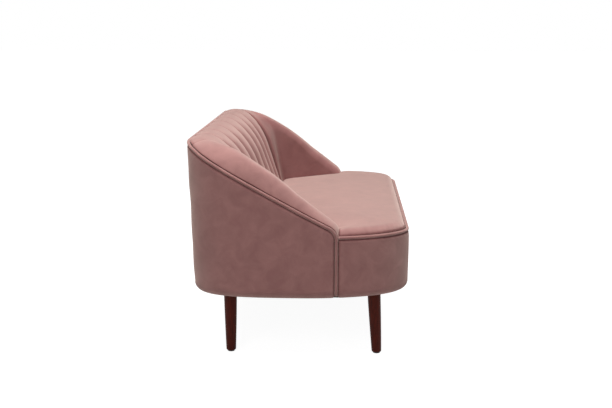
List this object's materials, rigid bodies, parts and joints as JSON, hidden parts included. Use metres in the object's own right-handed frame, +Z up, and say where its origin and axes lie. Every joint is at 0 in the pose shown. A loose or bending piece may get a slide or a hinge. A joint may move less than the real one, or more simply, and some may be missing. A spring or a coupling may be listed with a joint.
{
  "type": "retro sofa",
  "caption": "Compact retro sofa with a rounded tub back sewn in upright channels, sloping arms, a piped seat with a bowed front, and dark turned wooden legs.",
  "frame": {"origin": "centre of the bounding box, on the floor under the legs", "axes": "+X along the width to the sitter's left, +Z up, and the front faces -Y"},
  "size_m": [1.326, 0.77, 0.757],
  "materials": {
    "dusty_pink_velvet": "soft pile",
    "upholstery_foam": "open cell",
    "pine_frame": "planed, unfinished",
    "elastic_webbing": "woven",
    "black_dust_cloth": "matt",
    "dark_stained_beech": "dark stain, satin lacquer",
    "zinc_plated_steel": "zinc plated",
    "black_nylon": "matt"
  },
  "bodies": {
    "root": {"arm_and_back_piping": "dusty_pink_velvet", "front_border_cover": "dusty_pink_velvet", "inside_back_channel_cover": "dusty_pink_velvet", "left_arm_facing": "dusty_pink_velvet", "left_inside_arm_cover": "dusty_pink_velvet", "left_outside_arm_cover": "dusty_pink_velvet", "outside_back_cover": "dusty_pink_velvet", "right_arm_facing": "dusty_pink_velvet", "right_inside_arm_cover": "dusty_pink_velvet", "right_outside_arm_cover": "dusty_pink_velvet", "seat_cover": "dusty_pink_velvet", "seat_piping": "dusty_pink_velvet", "back_foam": "upholstery_foam", "left_arm_foam": "upholstery_foam", "right_arm_foam": "upholstery_foam", "seat_foam": "upholstery_foam", "back_seat_rail": "pine_frame", "back_top_rail": "pine_frame", "centre_seat_rail": "pine_frame", "front_seat_rail": "pine_frame", "left_arm_post": "pine_frame", "left_arm_top_rail": "pine_frame", "left_back_post": "pine_frame", "left_back_stile": "pine_frame", "left_seat_rail": "pine_frame", "leg_block_back_left": "pine_frame", "leg_block_back_right": "pine_frame", "leg_block_front_left": "pine_frame", "leg_block_front_right": "pine_frame", "right_arm_post": "pine_frame", "right_arm_top_rail": "pine_frame", "right_back_post": "pine_frame", "right_back_stile": "pine_frame", "right_seat_rail": "pine_frame", "back_strap_1": "elastic_webbing", "back_strap_2": "elastic_webbing", "cross_strap_1": "elastic_webbing", "cross_strap_2": "elastic_webbing", "seat_strap_1": "elastic_webbing", "seat_strap_2": "elastic_webbing", "seat_strap_3": "elastic_webbing", "seat_strap_4": "elastic_webbing", "seat_strap_5": "elastic_webbing", "dust_cover": "black_dust_cloth", "leg_back_left": "dark_stained_beech", "leg_back_right": "dark_stained_beech", "leg_front_left": "dark_stained_beech", "leg_front_right": "dark_stained_beech", "leg_bolt_back_left": "zinc_plated_steel", "leg_bolt_back_right": "zinc_plated_steel", "leg_bolt_front_left": "zinc_plated_steel", "leg_bolt_front_right": "zinc_plated_steel", "leg_plate_back_left": "zinc_plated_steel", "leg_plate_back_right": "zinc_plated_steel", "leg_plate_front_left": "zinc_plated_steel", "leg_plate_front_right": "zinc_plated_steel", "glide_back_left": "black_nylon", "glide_back_right": "black_nylon", "glide_front_left": "black_nylon", "glide_front_right": "black_nylon"}
  },
  "joints": []
}
